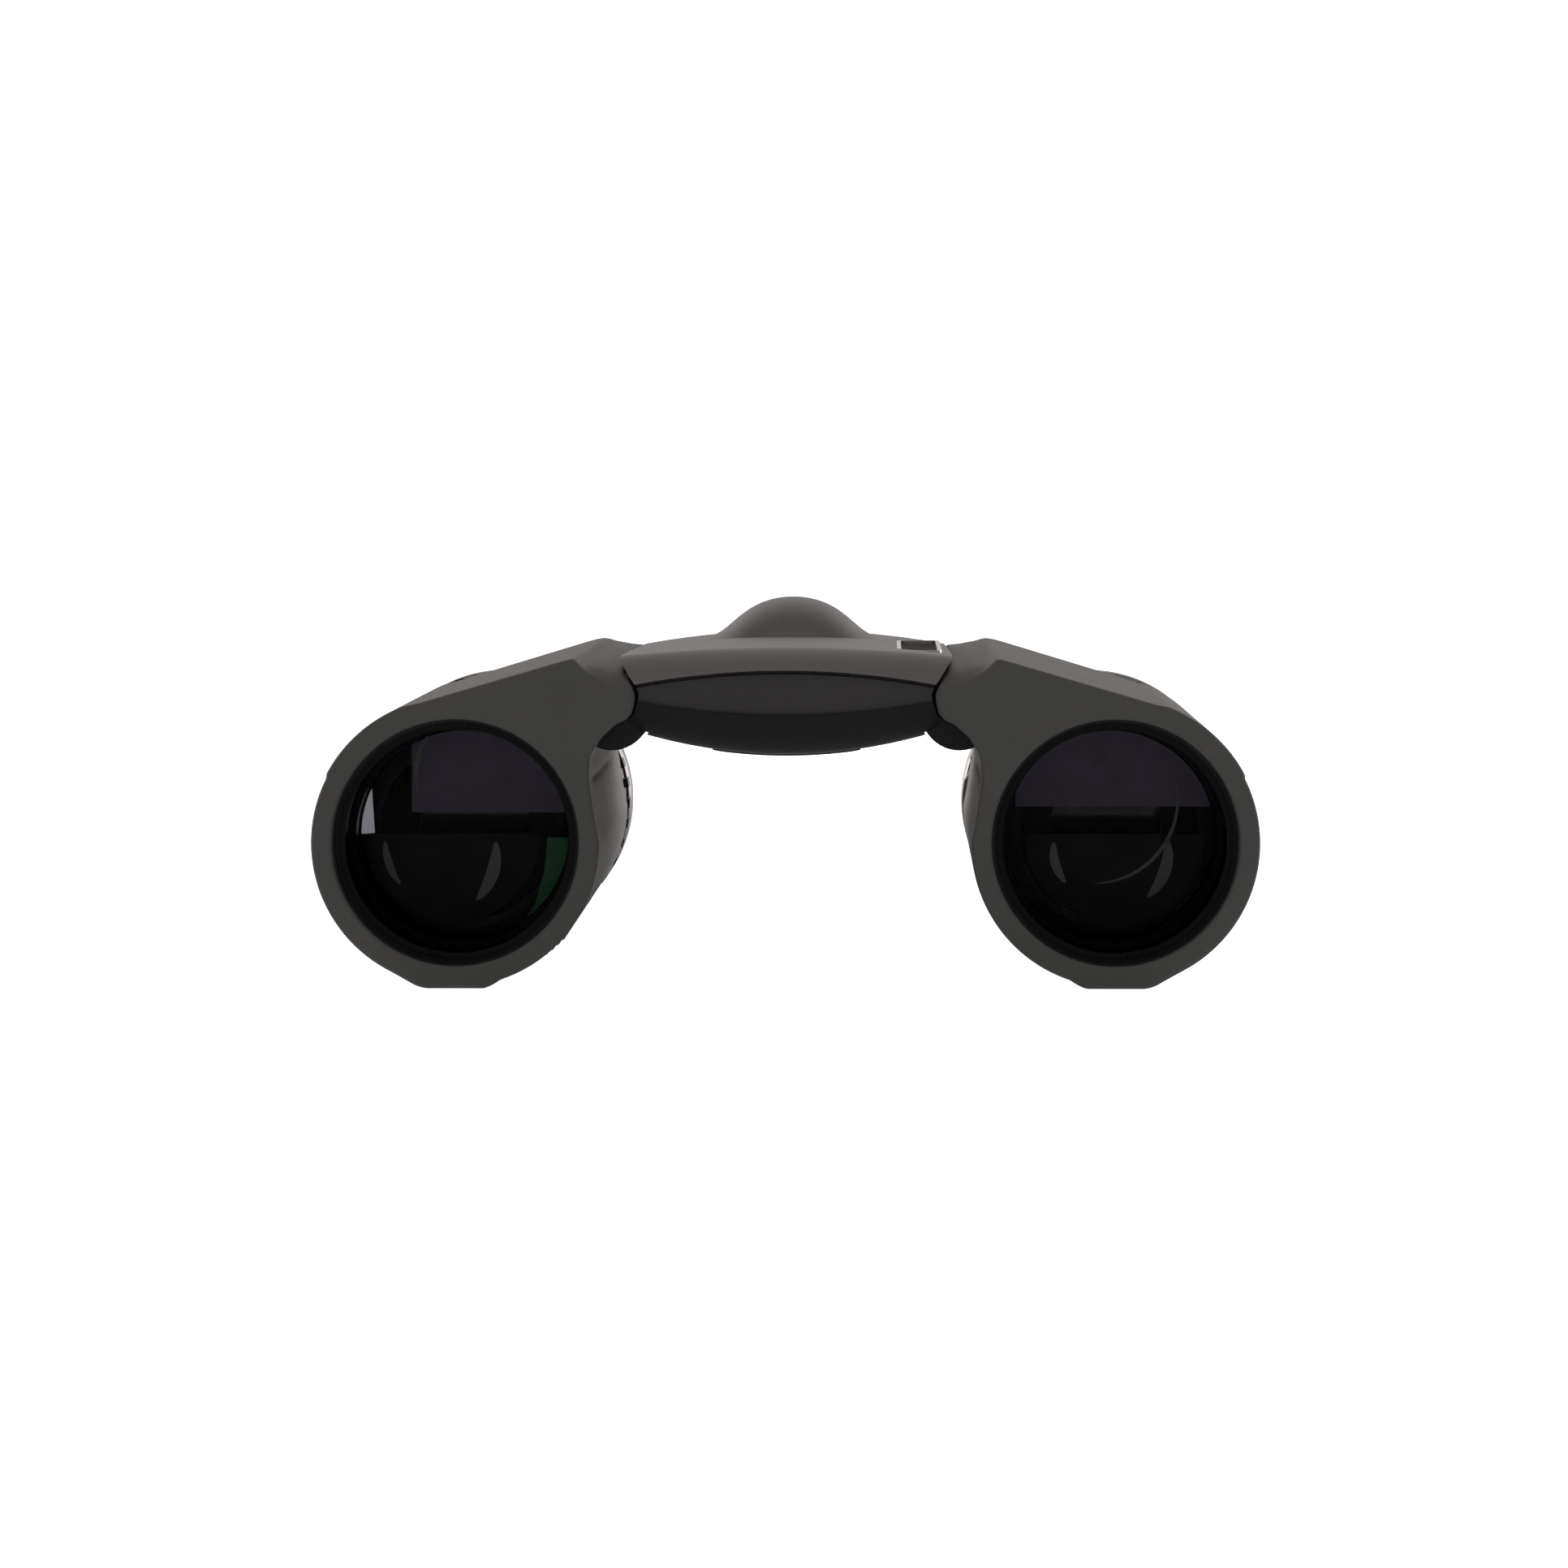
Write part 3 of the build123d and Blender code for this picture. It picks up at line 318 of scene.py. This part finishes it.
def mesh_piece(name, verts, faces, look, body, smooth_angle=35):
    """Smooth-shaded mesh object in metres that rides on a body and fills a material slot."""
    mesh = bpy.data.meshes.new(name)
    mesh.from_pydata(verts, [], faces)
    work = bmesh.new()
    work.from_mesh(mesh)
    bmesh.ops.remove_doubles(work, verts=work.verts, dist=0.004 * MM)
    bmesh.ops.dissolve_degenerate(work, edges=work.edges, dist=0.002 * MM)
    bmesh.ops.recalc_face_normals(work, faces=work.faces)
    work.to_mesh(mesh)
    work.free()
    mesh.shade_smooth()
    mesh.set_sharp_from_angle(angle=radians(smooth_angle))
    piece = bpy.data.objects.new(name, mesh)
    bpy.context.scene.collection.objects.link(piece)
    mesh.materials.append(look)
    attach(piece, body)
    return piece


# ---- rubber armour ------------------------------------------------------------------------
BARREL = (-BARREL_X, BARREL_Z)
HINGE = (-HINGE_X, HINGE_Z)
ARM_SLOPE = 17.0
NOSE_END = 4.8
# the hollowed shoulder: its (x, z) points from the arm's corner to the bridge, at five depths
SCOOP = [
    (0.0, [(-24.04, 37.56), (-22.56, 35.95), (-20.4, 34.6), (-17.2, 34.2)]),
    (4.8, [(-24.04, 37.62), (-22.56, 36.75), (-20.4, 36.0), (-17.2, 35.95)]),
    (12.0, [(-24.04, 37.7), (-22.56, 36.9), (-20.4, 36.4), (-17.2, 36.2)]),
    (50.0, [(-24.04, 37.78), (-22.56, 37.3), (-20.4, 36.9), (-17.2, 36.6)]),
    (200.0, [(-24.04, 37.78), (-22.56, 37.3), (-20.4, 36.9), (-17.2, 36.6)]),
]
SCOOP_EASE = 1.6
SHOULDER_TO = -16.9
SEAM = [(-19.44, 37.6), (-19.07, 36.9), (-18.12, 35.4), (-17.44, 34.4), (-17.02, 33.4)]
NOSE_UNDER = [(-17.02, 33.4), (-17.12, 32.4), (-17.45, 31.2), (-18.2, 30.45), (-19.06, 30.15),
              (-20.9, 28.5), (-22.15, 26.4)]
INNER_EDGE = [(-22.15, 26.4), (-22.3, 23.7), (-21.6, 19.1), (-21.1, BARREL_Z)]
HUG_R = 4.58
LIP_ANGLE = 72
HUG_TURN = 173
FOOT_HALF = 4.0
FOOT_FROM, FOOT_TO = 236.0, 286.0
UPPER_PAD = (112.0, 152.0)
PAD_RISE = 0.2
PAD_END = 82.0
PAD_RAMP = 6.0
RIB_FROM, RIB_TO, RIB_PITCH, RIB_RISE = 290.5, 317.5, 3.0, 0.28
RIB_START, RIB_STOP = (8.0, 9.0), (83.0, 84.0)


def scoop_floor(x, depth):
    """Height of the arm's hollowed shoulder at a place."""
    for (d0, low), (d1, high) in zip(SCOOP, SCOOP[1:]):
        if d0 <= depth <= d1:
            t = (depth - d0) / (d1 - d0)
            t = 1 - (1 - t) ** SCOOP_EASE
            points = [(a[0], a[1] + (b[1] - a[1]) * t) for a, b in zip(low, high)]
            break
    for a, b in zip(points, points[1:]):
        if x <= b[0] or b is points[-1]:
            s = max(0.0, min(1.0, (x - a[0]) / (b[0] - a[0])))
            return a[1] + (b[1] - a[1]) * s


def shoulder_line(depth):
    """Top of the arm from its corner to the seam, then down the seam to the nose or the tube."""
    line = []
    x = SCOOP[0][1][0][0]
    while x < SHOULDER_TO:
        z = scoop_floor(x, depth)
        edge_x = None
        for a, b in zip(SEAM, SEAM[1:]):
            if b[1] <= z <= a[1]:
                edge_x = a[0] + (b[0] - a[0]) * (a[1] - z) / (a[1] - b[1])
        if edge_x is not None and x >= edge_x:
            line.append((edge_x, z))
            break
        line.append((x, z))
        x += 0.1
    return line


def foot_radius(angle):
    """Distance from the barrel axis to the flattened foot under it."""
    if not FOOT_FROM < angle < FOOT_TO:
        return BODY_R
    ends = [at_angle(BODY_R, FOOT_FROM, (0, 0)), (-FOOT_HALF, -BARREL_Z), (FOOT_HALF, -BARREL_Z),
            at_angle(BODY_R, FOOT_TO, (0, 0))]
    dx, dz = cos(radians(angle)), sin(radians(angle))
    best = BODY_R
    for (ax, az), (bx, bz) in zip(ends, ends[1:]):
        ex, ez = bx - ax, bz - az
        cross = dx * ez - dz * ex
        if abs(cross) < 1e-9:
            continue
        reach = (ax * ez - az * ex) / cross
        share = (ax * dz - az * dx) / cross
        if 0 <= share <= 1 and reach > 0:
            best = max(BODY_R, reach)
    return best


def barrel_radius(angle, depth):
    """Outer radius of the armour round the barrel, with its pads, foot and grip ribs."""
    along_pad = 1 - step(PAD_END - 1.0, PAD_END + 1.0, depth)
    pad = step(UPPER_PAD[0] - PAD_RAMP, UPPER_PAD[0], angle)
    pad *= 1 - step(UPPER_PAD[1], UPPER_PAD[1] + PAD_RAMP / 5, angle)
    radius = BODY_R + PAD_RISE * pad * along_pad
    if FOOT_FROM - 4 < angle < FOOT_TO + 4:
        nearby = [foot_radius(angle + shift) for shift in (-3, -2, -1, 0, 1, 2, 3)]
        radius += (sum(nearby) / len(nearby) - BODY_R) * along_pad
    if RIB_FROM < angle < RIB_TO:
        wave = 0.5 - 0.5 * cos(2 * pi * (angle - RIB_FROM) / RIB_PITCH)
        ends = step(*RIB_START, depth) * (1 - step(*RIB_STOP, depth))
        radius += RIB_RISE * wave * ends
    return radius


def arc_angles():
    """Angles round the barrel, clockwise from its inner side to the arm's top line."""
    angles = []
    angle = 360.0
    while angle > 90 + ARM_SLOPE:
        angles.append(angle)
        angle -= 0.5 if RIB_FROM - 5 < angle < RIB_TO + 1 else 1.0
    return angles


ANGLES = arc_angles()
TOP_COUNT, SHOULDER_COUNT, UNDER_COUNT, EDGE_COUNT = 60, 58, 60, 56
PARTING = (9.0, 80.0)
PARTING_Z, PARTING_RISE = 23.4, 1.0
PARTING_DEEP = 0.4


def arm_outline(depth, nose):
    """Closed clockwise outline of one barrel and its arm at a depth."""
    outline = [at_angle(barrel_radius(a, depth), a, BARREL) for a in ANGLES]
    line = shoulder_line(depth)
    tangent = at_angle(BODY_R, 90 + ARM_SLOPE, BARREL)
    outline += evenly([tangent, line[0]], TOP_COUNT)[1:]
    lip = at_angle(HUG_R, LIP_ANGLE, HINGE)
    down = line + [lip] if line[-1][1] > lip[1] + 0.05 else line
    under = down[-1:] + [p for p in SEAM if p[1] < down[-1][1] - 0.05] + NOSE_UNDER[1:]
    if not nose:
        hug = [at_angle(HUG_R, LIP_ANGLE + HUG_TURN * i / 60, HINGE) for i in range(61)]
        under = hug + [NOSE_UNDER[-1]]
    outline += evenly(down, SHOULDER_COUNT)[1:]
    outline += evenly(under, UNDER_COUNT)[1:]
    edge = evenly(INNER_EDGE, EDGE_COUNT)[1:-1]
    if PARTING[0] < depth < PARTING[1]:
        groove_z = PARTING_Z + PARTING_RISE * step(66.0, 72.0, depth)
        deep = PARTING_DEEP * step(PARTING[0], PARTING[0] + 2, depth)
        edge = [(x - deep * max(0.0, 1 - abs(z - groove_z) / PARTING_DEEP), z) for x, z in edge]
    outline += edge
    outline = softened(outline, 4, len(ANGLES) - 3, len(outline))
    corner = len(ANGLES) + TOP_COUNT - 1
    return softened(outline, 4 + round(24 * step(2.0, 30.0, depth)), corner - 14, corner + 12)


MOUTH_R = 14.05
MOUTH_END = 4.15
FRONT_ROUND = 0.6
MOUTH_ROUND = 0.4
REAR_ROUND = 0.5
REAR_HOLE_R = 14.65
FACE_SHARES = (0.008, 0.05, 0.2, 0.5, 0.8, 0.95, 0.992)
ARM_STATIONS = [NOSE_END + 0.02, 6, 7, 8, 8.6, 9.2, 10.5, 12, 15, 19, 24, 30, 35.9, 36.3, 42, 50,
                60, 69, 70, 71, 72, 76, 79.8, 80.2, 81, 82, 83, 84, 85.4, 86.0]
# angles round the barrel at the arm's corner, the lip and the inner edge
NOSE_ANCHORS = (82.0, 60.0, 32.0)
HINGE_ANCHORS = (86.0, 78.0, 34.0)


def circle_angles(anchors):
    """Angle round the barrel for each outline point, falling steadily so that no faces cross."""
    angles = list(ANGLES)
    starts = (angles[-1], *anchors)
    counts = (TOP_COUNT - 1, SHOULDER_COUNT - 1, UNDER_COUNT - 1)
    for high, low, count in zip(starts, anchors, counts):
        angles += [high + (low - high) * (i + 1) / count for i in range(count)]
    rest = EDGE_COUNT - 1
    angles += [anchors[-1] * (1 - (i + 1) / rest) for i in range(EDGE_COUNT - 2)]
    return angles


def ring_on_circle(angles, radius, depth):
    """Ring of points on a circle round the barrel axis."""
    return [(*at_angle(radius, angle, BARREL), depth) for angle in angles]


def blend_rings(a, b, share):
    """Ring part of the way from one ring to another."""
    return [tuple(p + (q - p) * share for p, q in zip(u, v)) for u, v in zip(a, b)]


def ring_at(outline, depth):
    """Ring made of an outline at a depth."""
    return [(x, z, depth) for x, z in outline]


def make_armour(side_name, sign):
    """Rubber skin of one side: the mouth, the front face, the nose, the arm and the rear end."""
    rings = []
    angles = circle_angles(NOSE_ANCHORS)
    rings.append(ring_on_circle(angles, MOUTH_R, MOUTH_END))
    rings.append(ring_on_circle(angles, MOUTH_R, MOUTH_END / 2))
    for i in range(8):
        t = i / 7 * pi / 2
        rings.append(ring_on_circle(angles, MOUTH_R + MOUTH_ROUND * (1 - cos(t)),
                                    MOUTH_ROUND * (1 - sin(t))))
    inner = ring_on_circle(angles, MOUTH_R + MOUTH_ROUND, 0.0)
    outer = ring_at(moved_in(arm_outline(0.0, True), FRONT_ROUND), 0.0)
    for share in FACE_SHARES:
        rings.append(blend_rings(inner, outer, share))
    for i in range(8):
        t = i / 7 * pi / 2
        depth = FRONT_ROUND * (1 - cos(t))
        inset = FRONT_ROUND * (1 - sin(t))
        rings.append(ring_at(moved_in(arm_outline(depth, True), inset), depth))
    for depth in (2.0, 3.0, 4.0, NOSE_END):
        rings.append(ring_at(arm_outline(depth, True), depth))
    for depth in ARM_STATIONS:
        rings.append(ring_at(arm_outline(depth, False), depth))
    back = arm_outline(BODY_END, False)
    for i in range(1, 6):
        t = i / 5 * pi / 2
        depth = BODY_END - REAR_ROUND * (1 - sin(t))
        rings.append(ring_at(moved_in(back, REAR_ROUND * (1 - cos(t))), depth))
    rings.append(ring_on_circle(circle_angles(HINGE_ANCHORS), REAR_HOLE_R, BODY_END))
    rings.append(rings[0])
    piece = skin(f"{side_name}_armour_skin", rings, RUBBER, f"{side_name}_barrel",
                 side=-sign, smooth_angle=40)
    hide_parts(f"{side_name}_armour")


for side_name, sign in SIDES.items():
    make_armour(side_name, sign)

# ---- painted reflections and shade behind the objective glass: dark and faintly glowing plates ---
GLASS_R = 12.05
GLASS_FROM, GLASS_TO = 19.8, 20.3
LOWER_GLASS_R = 10.3


def slab(name, points, start, end, look, side_name):
    """Thin plate with an (x, z) outline measured from a barrel axis."""
    axis_x = SIDES[side_name] * -BARREL[0]
    count = len(points)
    verts = []
    for depth in (start, end):
        y = (FRONT_Y + depth) * MM
        verts += [((axis_x + x) * MM, y, (BARREL_Z + z) * MM) for x, z in points]
    faces = [tuple(range(count)), tuple(range(2 * count - 1, count - 1, -1))]
    faces += [(i, (i + 1) % count, count + (i + 1) % count, count + i) for i in range(count)]
    return mesh_piece(name, verts, faces, look, f"{side_name}_barrel")


def cap_of_disc(radius, from_angle, to_angle, centre, count=48):
    """Outline of a disc cut off by the straight line between two angles."""
    return [at_angle(radius, from_angle + (to_angle - from_angle) * i / count, centre)
            for i in range(count + 1)]


def arc_band(centre, radius, width, from_angle, to_angle, count=32):
    """Crescent that tapers to a point at both ends of an arc."""
    outer, inner = [], []
    for i in range(count + 1):
        share = i / count
        angle = from_angle + (to_angle - from_angle) * share
        half = width / 2 * sin(pi * share) ** 0.6
        outer.append(at_angle(radius + half, angle, centre))
        inner.append(at_angle(radius - half, angle, centre))
    return outer + inner[-2:0:-1]


def clipped_cap(radius, low_z, left_x):
    """Part of a disc above a level and to the right of an upright line."""
    points = [(left_x, low_z), (sqrt(radius**2 - low_z**2), low_z)]
    start = degrees(atan2(low_z, points[1][0]))
    end = degrees(atan2(sqrt(radius**2 - left_x**2), left_x))
    points += [at_angle(radius, start + (end - start) * i / 40, (0, 0)) for i in range(1, 41)]
    return points


# the painted reflections: the violet part's level and upright edge, the lower dark part's centre,
# and the pale painted glint arcs as (centre, radius, width, from angle, to angle)
PAINTED_GLASS_REFLECTIONS = {
    "right": {"level": 2.5, "left": -6.2, "low_centre": (-1.5, 0.0),
              "arcs": [((2.0, 7.0), 7.7, 0.6, 142, 196), ((-4.6, -2.0), 8.2, 1.5, -44, 8),
                       ((-1.0, -0.8), 8.3, 0.9, 180, 218)]},
    "left": {"level": 3.2, "left": -11.0, "low_centre": (0.35, 0.0),
             "arcs": [((-2.0, 4.1), 9.8, 0.4, -90, 16), ((-0.6, -1.9), 7.3, 1.4, -48, 12),
                      ((-1.0, -1.9), 5.6, 1.1, 169, 222)]},
}
for side_name in SIDES:
    view = PAINTED_GLASS_REFLECTIONS[side_name]
    lower = cap_of_disc(LOWER_GLASS_R, -180, 0, view["low_centre"])
    slab(f"{side_name}_painted_shade_plate", lower, GLASS_FROM, GLASS_TO, UMBER_PAINTED_SHADE, side_name)
    upper = clipped_cap(GLASS_R, view["level"], view["left"])
    slab(f"{side_name}_painted_reflection_plate", upper, GLASS_FROM, GLASS_TO, VIOLET_PAINTED_REFLECTION, side_name)
    for index, arc in enumerate(view["arcs"]):
        slab(f"{side_name}_painted_glint_edge_{index + 1}", arc_band(*arc), GLASS_FROM - 0.4,
             GLASS_FROM - 0.15, SOFT_PAINTED_GLINT, side_name)
# a pale glowing patch at the lens's left edge: painted glint
glint = [at_angle(GLASS_R, 180 - 26 * i / 16, (0, 0)) for i in range(17)]
slab("right_painted_glint_patch", glint + [(-10.5, 0.1)], GLASS_FROM - 0.4, GLASS_FROM - 0.1, PALE_PAINTED_GLINT,
     "right")
# a green glowing patch at the lens's lower right: painted reflection
strip = [at_angle(GLASS_R, -2 - 52 * i / 24, (0, 0)) for i in range(25)]
slab("right_painted_green_reflection_patch", [(9.6, -0.4)] + strip + [(8.2, -8.0), (9.2, -4.5)],
     GLASS_FROM - 0.4, GLASS_FROM - 0.1, GREEN_PAINTED_REFLECTION, "right")

# ---- floor and light ----------------------------------------------------------------------
FLOOR_HALF = 6.0
floor_mesh = bpy.data.meshes.new("floor")
floor_mesh.from_pydata([(-FLOOR_HALF, -FLOOR_HALF, 0), (FLOOR_HALF, -FLOOR_HALF, 0),
                        (FLOOR_HALF, FLOOR_HALF, 0), (-FLOOR_HALF, FLOOR_HALF, 0)],
                       [], [(0, 1, 2, 3)])
floor = bpy.data.objects.new("floor", floor_mesh)
bpy.context.scene.collection.objects.link(floor)
floor.location.z = -0.05 * MM
pale = surface("pale_floor", (0.86, 0.86, 0.86), 0.8, vary=0.01, specular=0.1)
pale_tree = pale.node_tree
pale_shader = pale_tree.nodes["Principled BSDF"]
looked_at = pale_tree.nodes.new("ShaderNodeLightPath")
pale_shader.inputs["Emission Color"].default_value = (1, 1, 1, 1)
glow = pale_tree.nodes.new("ShaderNodeMapRange")
glow.inputs["To Min"].default_value = 0.22
glow.inputs["To Max"].default_value = 1.1
pale_tree.links.new(looked_at.outputs["Is Camera Ray"], glow.inputs["Value"])
pale_tree.links.new(glow.outputs["Result"], pale_shader.inputs["Emission Strength"])
floor_mesh.materials.append(pale)

world = bpy.data.worlds.new("studio")
bpy.context.scene.world = world
world.use_nodes = True
tree = world.node_tree
background = tree.nodes["Background"]
direction = tree.nodes.new("ShaderNodeTexCoord")
parts = tree.nodes.new("ShaderNodeSeparateXYZ")
tree.links.new(direction.outputs["Generated"], parts.inputs["Vector"])
front_to_back = tree.nodes.new("ShaderNodeMapRange")
front_to_back.inputs["From Min"].default_value = 0.0
front_to_back.inputs["From Max"].default_value = 1.0
front_to_back.inputs["To Min"].default_value = 0.25
front_to_back.inputs["To Max"].default_value = 0.62
tree.links.new(parts.outputs["Y"], front_to_back.inputs["Value"])
seen = tree.nodes.new("ShaderNodeLightPath")
choose = tree.nodes.new("ShaderNodeMix")
tree.links.new(seen.outputs["Is Camera Ray"], choose.inputs["Factor"])
tree.links.new(front_to_back.outputs["Result"], choose.inputs["A"])
choose.inputs["B"].default_value = 1.0
tree.links.new(choose.outputs["Result"], background.inputs["Strength"])
warmth = tree.nodes.new("ShaderNodeMix")
warmth.data_type = "RGBA"
warmth.inputs["A"].default_value = (1.0, 0.95, 0.925, 1)
warmth.inputs["B"].default_value = (1, 1, 1, 1)
tree.links.new(seen.outputs["Is Camera Ray"], warmth.inputs["Factor"])
tree.links.new(warmth.outputs["Result"], background.inputs["Color"])
bpy.context.scene.view_settings.view_transform = "Standard"


def softbox(name, location, aim, size, power):
    """Slightly warm rectangular light, aimed at a place."""
    light = bpy.data.lights.new(name, "AREA")
    light.shape = "RECTANGLE"
    light.size, light.size_y = size
    light.energy = power
    light.color = (1.0, 0.93, 0.89)
    lamp = bpy.data.objects.new(name, light)
    bpy.context.scene.collection.objects.link(lamp)
    lamp.location = location
    lamp.rotation_euler = (Vector(aim) - Vector(location)).to_track_quat("-Z", "Y").to_euler()


softbox("overhead", (0, -0.45, 0.95), (0, 0, 0), (1.2, 0.6), 2.9)
for sign in (-1, 1):
    softbox(f"back_{sign}", (0.55 * sign, 0.5, 0.16), (0, 0, 0.02), (0.5, 0.3), 4.0)
